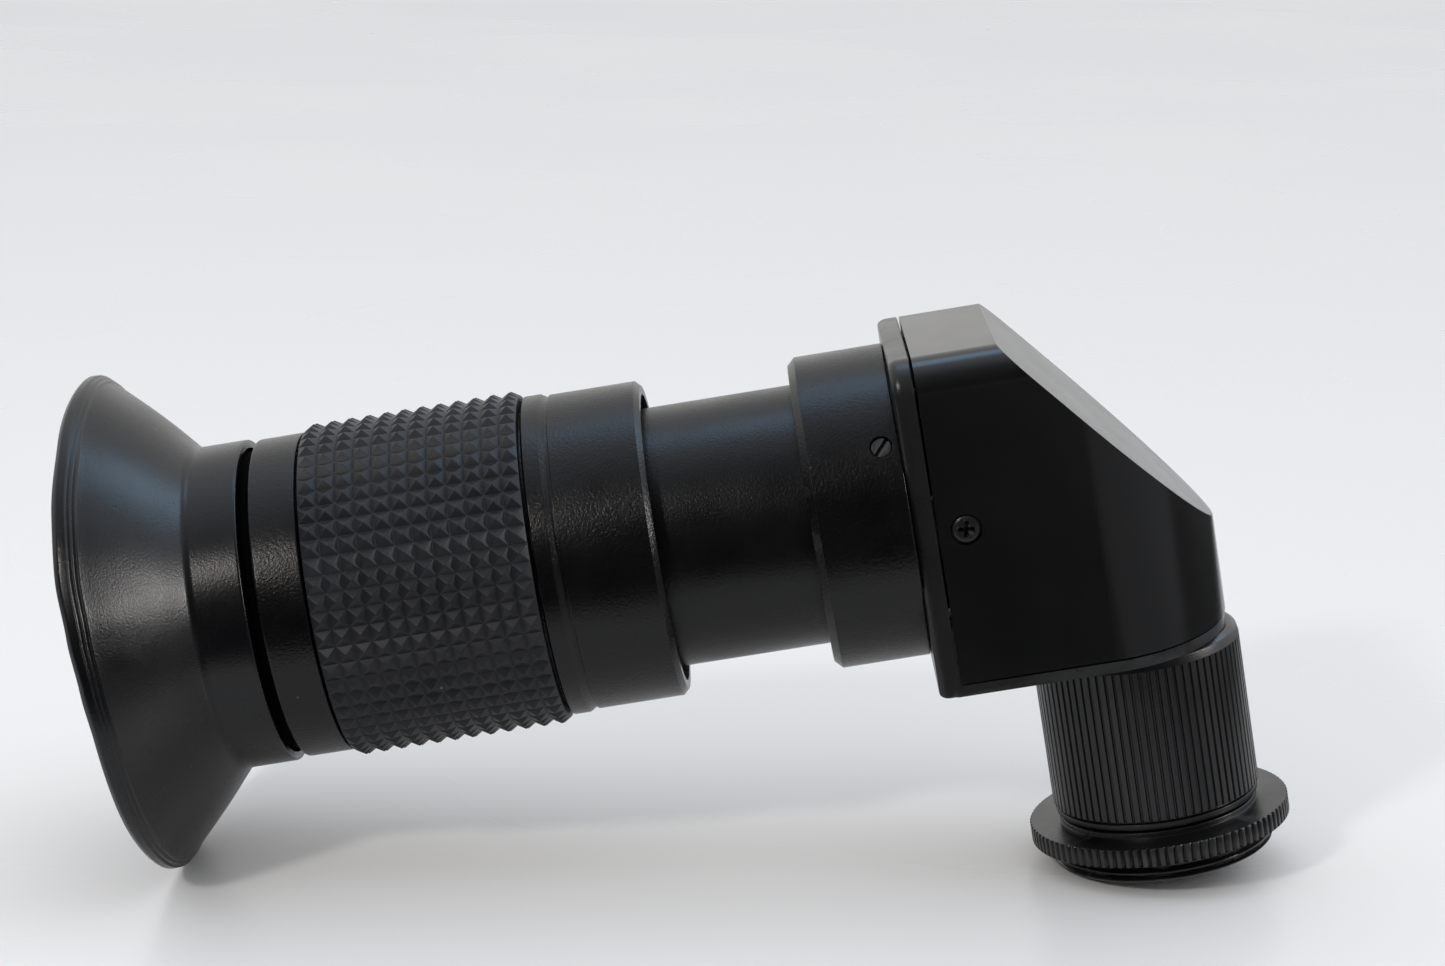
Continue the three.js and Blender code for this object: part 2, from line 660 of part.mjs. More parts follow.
// The table touches the lowest point of the eyecup's rim and the eye-side edge of the thread's end.
const THREAD_TOUCH_R = THREAD_R - 0.25;
const tilt = Math.atan2(THREAD_END - CUP_RIM_R, RIM_TOUCH_S - THREAD_TOUCH_R);
scope.rotation.y = -tilt;

const stand = new THREE.Group();
stand.add(scope);
stand.updateMatrixWorld(true);
const bounds = new THREE.Box3().setFromObject(stand, true);
const middle = bounds.getCenter(new THREE.Vector3());
scope.position.set(-middle.x, -middle.y, -bounds.min.z);
stand.updateMatrixWorld(true);

export default stand;
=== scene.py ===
import json
import math

import bmesh
import bpy
from mathutils import Matrix, Vector

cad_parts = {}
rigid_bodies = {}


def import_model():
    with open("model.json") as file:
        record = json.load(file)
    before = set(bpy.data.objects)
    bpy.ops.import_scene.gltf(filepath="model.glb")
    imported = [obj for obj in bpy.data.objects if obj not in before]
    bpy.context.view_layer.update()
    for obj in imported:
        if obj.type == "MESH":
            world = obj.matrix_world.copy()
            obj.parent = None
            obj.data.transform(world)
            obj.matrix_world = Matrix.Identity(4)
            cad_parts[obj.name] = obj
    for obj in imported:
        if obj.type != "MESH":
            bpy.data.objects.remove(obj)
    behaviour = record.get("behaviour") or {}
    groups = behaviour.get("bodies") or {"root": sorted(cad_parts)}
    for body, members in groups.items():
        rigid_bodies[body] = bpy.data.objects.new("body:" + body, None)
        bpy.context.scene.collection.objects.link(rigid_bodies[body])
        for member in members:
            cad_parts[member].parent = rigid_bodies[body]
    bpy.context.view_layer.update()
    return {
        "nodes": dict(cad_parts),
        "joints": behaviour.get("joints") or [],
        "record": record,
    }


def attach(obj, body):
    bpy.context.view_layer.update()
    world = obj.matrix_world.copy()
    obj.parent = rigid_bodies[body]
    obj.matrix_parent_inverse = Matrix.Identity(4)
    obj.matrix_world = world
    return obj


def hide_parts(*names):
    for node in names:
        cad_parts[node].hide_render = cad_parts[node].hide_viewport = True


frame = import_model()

# ---------------------------------------------------------------- the part's own axes
# Pieces are drawn in millimetres in the part's axes and then placed in the row frame:
# s runs along the eyepiece tube towards the eye, m down the mount, w to either side.

joints = {joint["name"]: joint for joint in frame["joints"]}
CROSSING = Vector(joints["mount_swivel"]["pos_m"])
TUBE = Vector(joints["focus_slide"]["axis"])
MOUNT = Vector(joints["mount_swivel"]["axis"])
SIDE = Vector((0, 1, 0))
MM = 0.001

PART_AXES = Matrix((-TUBE, SIDE, -MOUNT)).transposed().to_4x4()
PLACE = Matrix.Translation(CROSSING) @ PART_AXES @ Matrix.Scale(MM, 4)


def at(s, m, w):
    """A point in the part's own axes as drawn: millimetres, before it is placed."""
    return Vector((-s, w, -m))


# ---------------------------------------------------------------- materials

BROAD_SCALE = 140        # cells per metre of the uneven tone
SPECK_SCALE = 260        # cells per metre that may each hold one dust speck
SPECK_SPREAD = 210       # cells per metre of the patches where dust settles
DUST_GREY = (0.3, 0.3, 0.3)
LATHE_SCALE = 9000       # lathe marks per metre along the axis
LATHE_ROUND = 6.0        # their unevenness per radian round it
LATHE_DEPTH = 0.000004   # in metres
MIDDLE = (0.3, 0.7)      # the part of a noise's range that is used


def links_of(material):
    """The emptied node tree of a material: its nodes and its links."""
    material.use_nodes = True
    tree = material.node_tree
    tree.nodes.clear()
    return tree.nodes, tree.links


def noise(nodes, links, vector, scale, detail=3, roughness=0.55):
    """A noise texture's value socket."""
    node = nodes.new("ShaderNodeTexNoise")
    node.inputs["Scale"].default_value = scale
    node.inputs["Detail"].default_value = detail
    node.inputs["Roughness"].default_value = roughness
    links.new(vector, node.inputs["Vector"])
    return node.outputs["Fac"]


def spread(nodes, links, value, low, high, to_low, to_high):
    """A value carried from one range to another, and held at its ends."""
    node = nodes.new("ShaderNodeMapRange")
    for name, number in (("From Min", low), ("From Max", high), ("To Min", to_low), ("To Max", to_high)):
        node.inputs[name].default_value = number
    links.new(value, node.inputs["Value"])
    return node.outputs["Result"]


def mixed(nodes, links, factor, first, second):
    """A mix of two colours, each a tuple or a socket."""
    node = nodes.new("ShaderNodeMix")
    node.data_type = "RGBA"
    links.new(factor, node.inputs["Factor"])
    for socket, value in ((node.inputs["A"], first), (node.inputs["B"], second)):
        if isinstance(value, tuple):
            socket.default_value = (*value, 1)
        else:
            links.new(value, socket)
    return node.outputs["Result"]


def product(nodes, links, first, second):
    """The product of two sockets."""
    node = nodes.new("ShaderNodeMath")
    node.operation = "MULTIPLY"
    links.new(first, node.inputs[0])
    links.new(second, node.inputs[1])
    return node.outputs["Value"]


def bumped(nodes, links, height, distance, normal=None):
    """A surface normal moved by a height, over an earlier normal if there is one."""
    node = nodes.new("ShaderNodeBump")
    node.inputs["Strength"].default_value = 1.0
    node.inputs["Distance"].default_value = distance
    links.new(height, node.inputs["Height"])
    if normal is not None:
        links.new(normal, node.inputs["Normal"])
    return node.outputs["Normal"]


def turned_vector(nodes, links, axis):
    """Coordinates that run slowly round an axis and quickly along it, for lathe marks."""
    place = nodes.new("ShaderNodeTexCoord").outputs["Object"]
    offset = nodes.new("ShaderNodeVectorMath")
    offset.operation = "SUBTRACT"
    links.new(place, offset.inputs[0])
    offset.inputs[1].default_value = CROSSING
    turn = nodes.new("ShaderNodeVectorRotate")
    turn.rotation_type = "EULER_XYZ"
    turn.inputs["Rotation"].default_value = axis.rotation_difference(Vector((0, 0, 1))).to_euler()
    links.new(offset.outputs["Vector"], turn.inputs["Vector"])
    parts = nodes.new("ShaderNodeSeparateXYZ")
    links.new(turn.outputs["Vector"], parts.inputs["Vector"])
    angle = nodes.new("ShaderNodeMath")
    angle.operation = "ARCTAN2"
    links.new(parts.outputs["X"], angle.inputs[0])
    links.new(parts.outputs["Y"], angle.inputs[1])
    flat = nodes.new("ShaderNodeCombineXYZ")
    links.new(parts.outputs["X"], flat.inputs["X"])
    links.new(parts.outputs["Y"], flat.inputs["Y"])
    radius = nodes.new("ShaderNodeVectorMath")
    radius.operation = "LENGTH"
    links.new(flat.outputs["Vector"], radius.inputs[0])
    both = nodes.new("ShaderNodeCombineXYZ")
    links.new(parts.outputs["Z"], both.inputs["X"])
    links.new(radius.outputs["Value"], both.inputs["Y"])
    links.new(angle.outputs["Value"], both.inputs["Z"])
    scaled = nodes.new("ShaderNodeVectorMath")
    scaled.operation = "MULTIPLY"
    links.new(both.outputs["Vector"], scaled.inputs[0])
    scaled.inputs[1].default_value = (LATHE_SCALE, LATHE_SCALE, LATHE_ROUND)
    return scaled.outputs["Vector"]


def finish_of(name, dark, light, roughness, grain, grain_depth, *, vary=0.05, edge=None, metallic=0.0,
              specular=0.5, lathe=None, coat=0.0, dust=0.0):
    """A procedural finish: uneven tone, uneven roughness, fine grain, lathe marks and worn edges."""
    material = bpy.data.materials.new(name)
    nodes, links = links_of(material)
    output = nodes.new("ShaderNodeOutputMaterial")
    shader = nodes.new("ShaderNodeBsdfPrincipled")
    links.new(shader.outputs["BSDF"], output.inputs["Surface"])
    shader.inputs["Metallic"].default_value = metallic
    shader.inputs["Specular IOR Level"].default_value = specular
    shader.inputs["Coat Weight"].default_value = coat
    shader.inputs["Coat Roughness"].default_value = 0.2
    place = nodes.new("ShaderNodeTexCoord").outputs["Object"]
    broad = noise(nodes, links, place, BROAD_SCALE, 4)
    fine = noise(nodes, links, place, grain, 2, 0.7)
    colour = mixed(nodes, links, spread(nodes, links, broad, *MIDDLE, 0, 1), dark, light)
    if edge is not None:
        pointiness = nodes.new("ShaderNodeNewGeometry").outputs["Pointiness"]
        edges = spread(nodes, links, pointiness, 0.52, 0.6, 0, 1)
        worn = product(nodes, links, edges, spread(nodes, links, broad, 0.35, 0.65, 0.1, 1))
        colour = mixed(nodes, links, worn, colour, edge)
    if dust:
        specks = nodes.new("ShaderNodeTexVoronoi")
        specks.inputs["Scale"].default_value = SPECK_SCALE
        links.new(place, specks.inputs["Vector"])
        spot = spread(nodes, links, specks.outputs["Distance"], 0.03, 0.06, dust, 0)
        rare = spread(nodes, links, noise(nodes, links, place, SPECK_SPREAD, 1), 0.62, 0.66, 0, 1)
        colour = mixed(nodes, links, product(nodes, links, spot, rare), colour, DUST_GREY)
    links.new(colour, shader.inputs["Base Color"])
    uneven = spread(nodes, links, broad, *MIDDLE, roughness - vary, roughness + vary)
    links.new(uneven, shader.inputs["Roughness"])
    normal = bumped(nodes, links, fine, grain_depth)
    if lathe is not None:
        marks = noise(nodes, links, turned_vector(nodes, links, lathe), 1, 2)
        normal = bumped(nodes, links, marks, LATHE_DEPTH, normal)
    links.new(normal, shader.inputs["Normal"])
    return material


def coated_glass(name, tint):
    """Clear glass with the faint coloured gloss of a lens coating."""
    material = bpy.data.materials.new(name)
    nodes, links = links_of(material)
    output = nodes.new("ShaderNodeOutputMaterial")
    shader = nodes.new("ShaderNodeBsdfPrincipled")
    links.new(shader.outputs["BSDF"], output.inputs["Surface"])
    shader.inputs["Transmission Weight"].default_value = 1.0
    shader.inputs["IOR"].default_value = 1.52
    shader.inputs["Specular Tint"].default_value = (*tint, 1)
    shader.inputs["Coat Weight"].default_value = 0.35
    shader.inputs["Coat Tint"].default_value = (*tint, 1)
    place = nodes.new("ShaderNodeTexCoord").outputs["Object"]
    haze = noise(nodes, links, place, 220, 3)
    links.new(spread(nodes, links, haze, *MIDDLE, 0.0, 0.03), shader.inputs["Roughness"])
    clear = mixed(nodes, links, haze, (0.93, 0.96, 0.95), (0.98, 0.99, 1.0))
    links.new(clear, shader.inputs["Base Color"])
    return material


BARREL_BLACK = finish_of("barrel_anodised", (0.0016, 0.0016, 0.0019), (0.0028, 0.0028, 0.0032), 0.27, 3600,
                         0.00004, specular=0.3, edge=(0.02, 0.0205, 0.0215), lathe=TUBE, dust=0.5)
TUBE_BLACK = finish_of("tube_anodised", (0.0016, 0.0017, 0.002), (0.0028, 0.0029, 0.0035), 0.3, 3800,
                       0.00003, specular=0.3, lathe=TUBE, dust=0.4)
CHASSIS_BLACK = finish_of("chassis_anodised", (0.0084, 0.0085, 0.0088), (0.0108, 0.0109, 0.0112), 0.28,
                          7000, 0.00001, specular=0.4, edge=(0.03, 0.031, 0.032), dust=0.5)
COVER_BLACK = finish_of("cover_lacquer", (0.0034, 0.0035, 0.0037), (0.0043, 0.0044, 0.0046), 0.23, 5000,
                        0.000004, vary=0.02, specular=0.43, coat=0.1, dust=0.6)
SLEEVE_BLACK = finish_of("sleeve_anodised", (0.0036, 0.0037, 0.0042), (0.006, 0.0061, 0.0068), 0.34, 5500,
                         0.000016, specular=0.5, edge=(0.03, 0.03, 0.032), dust=0.5)
RING_BLACK = finish_of("ring_anodised", (0.003, 0.003, 0.0033), (0.005, 0.005, 0.0054), 0.3, 5500,
                       0.000014, specular=0.42, edge=(0.05, 0.05, 0.05), lathe=MOUNT, dust=0.3)
CUP_RUBBER = finish_of("cup_rubber", (0.0024, 0.0025, 0.0031), (0.0038, 0.004, 0.0048), 0.28, 4400,
                       0.00002, specular=0.34, lathe=TUBE, dust=0.4)
GRIP_RUBBER = finish_of("grip_rubber", (0.0108, 0.0113, 0.0134), (0.0147, 0.0154, 0.0182), 0.42, 6000,
                        0.000008, specular=0.26, edge=(0.024, 0.025, 0.028), dust=0.6)
INNER_BLACK = finish_of("inner_black", (0.0025, 0.0025, 0.0026), (0.005, 0.005, 0.0052), 0.75, 6000,
                        0.00002)
# painted shade: a near-black, almost glossless finish that paints the shade in the gap between the eyecup's
# neck and the band
PAINTED_GAP_SHADE = finish_of("painted_gap_shade", (0.0004, 0.0004, 0.0005), (0.0009, 0.0009, 0.001), 0.85, 6000, 0.00001,
                      specular=0.03)
BLACK_STEEL = finish_of("black_steel", (0.012, 0.012, 0.013), (0.03, 0.03, 0.032), 0.3, 7000, 0.00001,
                        metallic=0.7, edge=(0.12, 0.12, 0.12))
SPRING_STEEL = finish_of("spring_steel", (0.42, 0.42, 0.43), (0.55, 0.55, 0.56), 0.26, 5000, 0.000004,
                         metallic=1.0)
EYE_GLASS = coated_glass("eye_glass", (0.75, 0.72, 1.0))
INNER_GLASS = coated_glass("inner_glass", (0.8, 1.0, 0.86))

SLOT_FINISH = {
    "chassis_anodised": CHASSIS_BLACK,
    "cover_paint": COVER_BLACK,
    "barrel_anodised": BARREL_BLACK,
    "tube_anodised": TUBE_BLACK,
    "sleeve_anodised": SLEEVE_BLACK,
    "ring_anodised": RING_BLACK,
    "cup_rubber": CUP_RUBBER,
    "grip_rubber": GRIP_RUBBER,
    "inner_black": INNER_BLACK,
    "black_steel": BLACK_STEEL,
    "spring_steel": SPRING_STEEL,
    "optical_glass": INNER_GLASS,
}
SLOT_OF = {part["node"]: part["material_slot"] for part in frame["record"]["subparts"]}
BODIES = frame["record"]["behaviour"]["bodies"]
BODY_OF = {node: body for body, members in BODIES.items() for node in members}

for node, cad in frame["nodes"].items():
    cad.data.materials.clear()
    cad.data.materials.append(SLOT_FINISH[SLOT_OF[node]])


# ---------------------------------------------------------------- mesh helpers

def face_outwards(mesh):
    """Turns every face of a closed mesh outwards."""
    shape = bmesh.new()
    shape.from_mesh(mesh)
    bmesh.ops.recalc_face_normals(shape, faces=shape.faces)
    shape.to_mesh(mesh)
    shape.free()


def mesh_of(name, points, faces):
    """A mesh from its points and the faces that join them."""
    mesh = bpy.data.meshes.new(name)
    mesh.from_pydata(points, [], faces)
    return mesh


def object_of(name, mesh, smooth_angle=35):
    """Places a mesh drawn in the part's axes, with smooth faces and sharp corners."""
    mesh.transform(PLACE)
    face_outwards(mesh)
    mesh.shade_smooth()
    mesh.set_sharp_from_angle(angle=math.radians(smooth_angle))
    piece = bpy.data.objects.new(name, mesh)
    bpy.context.scene.collection.objects.link(piece)
    return piece


def finished(piece, *nodes, finish=None):
    """Gives a piece its finish (by its first CAD node's slot unless one is given), even normals and its
    body, and hides the CAD nodes that it stands for.
    """
    slot = SLOT_OF[nodes[0]]
    piece.data.materials.clear()
    piece.data.materials.append(finish or SLOT_FINISH[slot])
    weighted = piece.modifiers.new("even normals", "WEIGHTED_NORMAL")
    weighted.keep_sharp = True
    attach(piece, BODY_OF[nodes[0]])
    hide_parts(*nodes)
    return piece


CORNER_REACH = 0.48      # how much of an edge a rounded corner may take


def rounded(corners, steps=4):
    """A closed outline of (a, b, radius) corners with each corner rounded by its radius."""
    outline = []
    count = len(corners)
    for i, corner in enumerate(corners):
        point = Vector(corner[:2])
        radius = corner[2] if len(corner) > 2 else 0
        before = Vector(corners[i - 1][:2]) - point
        after = Vector(corners[(i + 1) % count][:2]) - point
        if not radius or before.length < 1e-6 or after.length < 1e-6:
            outline.append(point)
            continue
        bend = before.angle(after) / 2
        most = min(before.length, after.length) * CORNER_REACH
        reach = min(radius / math.tan(bend), most)
        start = point + before.normalized() * reach
        end = point + after.normalized() * reach
        for step in range(steps + 1):
            t = step / steps
            outline.append(start * (1 - t) ** 2 + point * 2 * t * (1 - t) + end * t ** 2)
    return outline


def ring_faces(rows, segments, closed=True):
    """Faces between neighbouring rings of points, and from the last ring to the first if closed."""
    faces = []
    for i in range(rows if closed else rows - 1):
        j = (i + 1) % rows
        for k in range(segments):
            n = (k + 1) % segments
            faces.append((i * segments + k, i * segments + n, j * segments + n, j * segments + k))
    return faces


def spun(name, outline, axis, segments=192, relief=None, closed=True):
    """An outline of (station, radius) points turned about the tube or the mount axis.
    relief(station, radius, angle) may change a point's radius."""
    points = []
    for station, radius in outline:
        for k in range(segments):
            angle = 2 * math.pi * k / segments
            r = relief(station, radius, angle) if relief else radius
            across = -r * math.cos(angle)
            up = r * math.sin(angle)
            if axis == "tube":
                points.append(at(station, -up, across))
            else:
                points.append(at(up, station, across))
    mesh = mesh_of(name, points, ring_faces(len(outline), segments, closed))
    if not closed:
        merge_poles(mesh)
    return mesh


def merge_poles(mesh):
    """Welds the rings of zero radius at the two ends of an open outline."""
    shape = bmesh.new()
    shape.from_mesh(mesh)
    bmesh.ops.remove_doubles(shape, verts=shape.verts, dist=1e-5)
    shape.to_mesh(mesh)
    shape.free()


def turned_piece(name, node, corners, axis="tube", segments=192, relief=None, finish=None, cutter=None):
    """A finished piece turned from an outline of rounded corners, less what a cutter takes away."""
    mesh = spun(name, rounded(corners), axis, segments, relief)
    if cutter is not None:
        mesh = combined(mesh, cutter, "DIFFERENCE")
    return finished(object_of(name, mesh), node, finish=finish)


def lens_piece(name, node, start, end, radius, bulge_start, bulge_end, axis, finish):
    """A lens between two stations; a positive bulge stands out and a negative one is hollow."""
    steps = 14
    shares = [i / steps for i in range(steps + 1)]
    outline = [(start - bulge_start * (1 - share ** 2), radius * share) for share in shares]
    outline += [(end + bulge_end * (1 - share ** 2), radius * share) for share in reversed(shares)]
    piece = object_of(name, spun(name, outline, axis, 96, closed=False))
    return finished(piece, node, finish=finish)


def skinned(name, rings):
    """A closed mesh over a stack of rings of points, capped at both ends."""
    shape = bmesh.new()
    layers = [[shape.verts.new(point) for point in ring] for ring in rings]
    for layer, following in zip(layers, layers[1:]):
        for k in range(len(layer)):
            n = (k + 1) % len(layer)
            shape.faces.new((layer[k], layer[n], following[n], following[k]))
    shape.faces.new(layers[0][::-1])
    shape.faces.new(layers[-1])
    bmesh.ops.recalc_face_normals(shape, faces=shape.faces)
    mesh = bpy.data.meshes.new(name)
    shape.to_mesh(mesh)
    shape.free()
    return mesh


def extruded(outline, place, start, end):
    """An outline of 2-D points swept from start to end; place(a, b, depth) gives each point."""
    return skinned("extruded", [[place(a, b, depth) for a, b in outline] for depth in (start, end)])


def combined(mesh, other, operation):
    """The solid result of a boolean between two meshes drawn in the same axes."""
    scene = bpy.context.scene.collection.objects
    base = bpy.data.objects.new("base", mesh)
    tool = bpy.data.objects.new("tool", other)
    scene.link(base)
    scene.link(tool)
    modifier = base.modifiers.new("solid", "BOOLEAN")
    modifier.operation = operation
    modifier.object = tool
    modifier.solver = "EXACT"
    bpy.context.view_layer.update()
    graph = bpy.context.evaluated_depsgraph_get()
    result = bpy.data.meshes.new_from_object(base.evaluated_get(graph))
    bpy.data.objects.remove(base)
    bpy.data.objects.remove(tool)
    return result


SLIVER = 0.0001          # points nearer together than this are one point


def without_slivers(mesh):
    """Merges the points of a mesh that a boolean leaves almost in one place."""
    shape = bmesh.new()
    shape.from_mesh(mesh)
    bmesh.ops.dissolve_degenerate(shape, edges=shape.edges, dist=SLIVER)
    shape.to_mesh(mesh)
    shape.free()
    return mesh


def joined(meshes):
    """Several meshes as one, without welding them."""
    shape = bmesh.new()
    for mesh in meshes:
        shape.from_mesh(mesh)
    result = bpy.data.meshes.new("joined")
    shape.to_mesh(result)
    shape.free()
    return result


def circle(radius, count, centre=(0, 0)):
    """The points of a circle, as pairs."""
    turns = [2 * math.pi * k / count for k in range(count)]
    return [(centre[0] + radius * math.cos(turn), centre[1] + radius * math.sin(turn)) for turn in turns]


def as_drawn(a, b, c):
    """A point of a piece that is drawn about an axis of its own."""
    return Vector((a, b, c))


def from_above(s, w, m):
    """Places an outline seen from above the housing and swept down the mount."""
    return at(s, m, w)


def from_side(s, m, w):
    """Places an outline seen from the side and swept across."""
    return at(s, m, w)


def from_eye(w, m, s):
    """Places an outline seen from the eye and swept along the tube."""
    return at(s, m, w)


def softened(piece, width, segments=3, angle=28):
    """Breaks a piece's sharp edges with a narrow round."""
    bevel = piece.modifiers.new("broken edges", "BEVEL")
    bevel.width = width * MM
    bevel.segments = segments
    bevel.limit_method = "ANGLE"
    bevel.angle_limit = math.radians(angle)
    return piece


# ---------------------------------------------------------------- housing

HALF_W = 14.5
TOP = 16.05
BASE_IN = 15.6
BASE_OUT = 16.65
TOP_ROUND = 3.35
SLANT_TOP_S = 9.85
SLANT_SLOPE = 1.16
NOSE_CENTRE = 3.15
NOSE_REACH = 12.4
WALL = 1.3
PLATE_IN = 18.15
PLATE_OUT = 20.2
COVER_END = 17.93
COVER_LOW = 15.42
SCREW_S = 15.3
SCREW_M = 0.5
SCREW_HOLE_R = 1.0
SCREW_SEAT_R = 1.5
SCREW_SEAT_DEPTH = 0.66
LIGHT_HOLE_R = 11
NECK_HOLE_R = 7.1
BOSS_R = 13.95
BOSS_END = 26
EAR_IN = 12.6
EAR_OUT = 18.6
EAR_HALF = 3
EAR_W = 12.1
EAR_THICKNESS = 2.2
PAST = 1                 # how far a cutting form stands past what it cuts


def plan_outline(half_width, reach, rear, steps=72):
    """The housing from above: straight sides and a round nose, as (s, w) points."""
    turns = [math.pi * k / steps for k in range(steps + 1)]
    nose = [(NOSE_CENTRE - reach * math.sin(turn), half_width * math.cos(turn)) for turn in turns]
    return [(rear, half_width), *nose, (rear, -half_width)]


def section_outline(half_width, top, low, upper_round, lower_round, steps):
    """The housing seen from the eye: round upper corners, as (w, m) points."""
    corners = [(half_width, low, lower_round), (half_width, -top, upper_round),
               (-half_width, -top, upper_round), (-half_width, low, lower_round)]
    outline = []
    for i, (w, m, radius) in enumerate(corners):
        centre_w = w - math.copysign(radius, w)
        centre_m = m - math.copysign(radius, m)
        for k in range(steps + 1):
            angle = math.radians(90 - 90 * i - 90 * k / steps)
            outline.append((centre_w + radius * math.cos(angle), centre_m + radius * math.sin(angle)))
    return outline


def housing_form(inset, rear, low):
    """The cover's solid form: plan, side view and cross-section all at once."""
    half_width = HALF_W - inset
    top = TOP - inset
    reach = NOSE_REACH - inset
    slant_top = SLANT_TOP_S + inset * (math.hypot(1, SLANT_SLOPE) - 1) / SLANT_SLOPE
    front = NOSE_CENTRE - reach - PAST
    plan = extruded(plan_outline(half_width, reach, rear), from_above, -top - PAST, low)
    nose_level = -top + SLANT_SLOPE * (slant_top - front)
    side_view = [(rear, -top), (slant_top, -top), (front, nose_level), (front, low), (rear, low)]
    side = extruded(side_view, from_side, -half_width - PAST, half_width + PAST)
    section_view = section_outline(half_width, top, low, TOP_ROUND - inset, 0.001, 12)
    section = extruded(section_view, from_eye, front - PAST, rear)
    return combined(combined(plan, side, "INTERSECT"), section, "INTERSECT")


def screw_cylinder(radius, start, end):
    """A cylinder across the housing on the cover screws' line."""
    return extruded(circle(radius, 40, (SCREW_S, SCREW_M)), from_side, start, end)


hollow = housing_form(WALL, PLATE_IN + PAST, BASE_IN + PAST)
cover = combined(housing_form(0, COVER_END, COVER_LOW), hollow, "DIFFERENCE")
for side in (-1, 1):
    outside = side * (HALF_W + 1.5)
    cover = combined(cover, screw_cylinder(SCREW_HOLE_R, side * 12, outside), "DIFFERENCE")
    seat = screw_cylinder(SCREW_SEAT_R, side * (HALF_W - SCREW_SEAT_DEPTH), outside)
    cover = combined(cover, seat, "DIFFERENCE")
finished(object_of("housing_cover_shell", without_slivers(cover)), "housing_cover")


def plate_mesh():
    """The front plate: its section swept through its thickness with a well rounded eye-side rim."""
    inner_chamfer = 0.12
    rim_depth = 0.95
    rim_inset = 0.55
    lower_round = 0.22
    steps = 8
    stations = [(PLATE_IN, inner_chamfer), (PLATE_IN + inner_chamfer, 0)]
    for k in range(steps + 1):
        angle = math.pi / 2 * k / steps
        station = PLATE_OUT - rim_depth * (1 - math.sin(angle))
        stations.append((station, rim_inset * (1 - math.cos(angle))))
    rings = []
    for s, inset in stations:
        upper_round = TOP_ROUND - inset * 0.6
        outline = section_outline(HALF_W - inset, TOP - inset, BASE_OUT - inset,
                                  upper_round, lower_round, 10)
        rings.append([at(s, m, w) for w, m in outline])
    return skinned("plate", rings)


light_hole = extruded(circle(LIGHT_HOLE_R, 96), from_eye, PLATE_IN - PAST, PLATE_OUT + PAST)
plate = combined(plate_mesh(), light_hole, "DIFFERENCE")
base = extruded(plan_outline(HALF_W, NOSE_REACH - 0.15, PLATE_IN + 0.4), from_above, BASE_IN, BASE_OUT)
neck_hole = extruded(circle(NECK_HOLE_R, 96), from_above, BASE_IN - PAST, BASE_OUT + PAST)
base = combined(base, neck_hole, "DIFFERENCE")
boss = spun("boss", rounded([
    (PLATE_IN + 0.5, LIGHT_HOLE_R), (PLATE_IN + 0.5, BOSS_R),
    (BOSS_END, BOSS_R, 0.2), (BOSS_END, LIGHT_HOLE_R),
]), "tube")
ear_view = [(EAR_IN, SCREW_M - EAR_HALF), (EAR_OUT, SCREW_M - EAR_HALF),
            (EAR_OUT, SCREW_M + EAR_HALF), (EAR_IN, SCREW_M + EAR_HALF)]
ears = [extruded(ear_view, from_side, side * EAR_W - EAR_THICKNESS / 2, side * EAR_W + EAR_THICKNESS / 2)
        for side in (-1, 1)]
chassis_mesh = joined([combined(plate, base, "UNION"), boss, *ears])
finished(softened(object_of("chassis_machined", chassis_mesh), 0.14, 3, 40), "chassis")


RECESS_TURN = 0.12
# the two ends of each recess blade: depth, half length, half width
RECESS_ENDS = [(-0.3, 0.84, 0.231), (1.1, 0.64, 0.168)]
# the screw from the middle of its head to the end of its shank: depth, radius
SCREW_OUTLINE = [(0, 0), (0.02, 0.6), (0.05, 1.0), (0.12, 1.25), (0.26, 1.37), (0.6, 1.37),
                 (0.6, 0.8), (3.2, 0.8), (3.2, 0)]
HEAD_SUNK = 0.08


def recess_cross():
    """The cross recess cutter, narrowing as it goes in; drawn about the screw's own axis."""
    blades = []
    for angle in (RECESS_TURN, RECESS_TURN + math.pi / 2):
        cos, sin = math.cos(angle), math.sin(angle)
        rings = []
        for level, long, wide in RECESS_ENDS:
            corners = ((-long, -wide), (long, -wide), (long, wide), (-long, wide))
            rings.append([(a * cos - b * sin, a * sin + b * cos, level) for a, b in corners])
        blades.append(skinned("blade", rings))
    return combined(blades[0], blades[1], "UNION")


def cover_screw(name, node, side):
    """A low round head with a cross recess, over a plain shank."""
    segments = 48
    turns = [2 * math.pi * k / segments for k in range(segments)]
    points = [(radius * math.cos(turn), radius * math.sin(turn), depth)
              for depth, radius in SCREW_OUTLINE for turn in turns]
    mesh = mesh_of(name, points, ring_faces(len(SCREW_OUTLINE), segments, closed=False))
    merge_poles(mesh)
    face_outwards(mesh)
    mesh = combined(mesh, recess_cross(), "DIFFERENCE")
    seat = Matrix.Translation(at(SCREW_S, SCREW_M, side * (HALF_W - HEAD_SUNK)))
    mesh.transform(seat @ Matrix.Rotation(side * math.pi / 2, 4, "X"))
    return finished(softened(object_of(name, mesh), 0.05, 2, 35), node)


cover_screw("cross_screw_near", "cover_screw_near", -1)
cover_screw("cross_screw_far", "cover_screw_far", 1)

# ---------------------------------------------------------------- collar, grub screws, inner tube

COLLAR_R = 15.5
COLLAR_IN = 20.28
COLLAR_OUT = 29.7
GRUB_S = 22.0
GRUB_ANGLES = [32.7, 152.7, 272.7]
GRUB_R = 0.96
GRUB_HOLE_R = 1.08
GRUB_LOW = 14.08
GRUB_TOP = 15.28
SLOT_LOW = 14.85
SLOT_HALF = 0.17
SLOT_TURN = 50
TUBE_R = 12.87


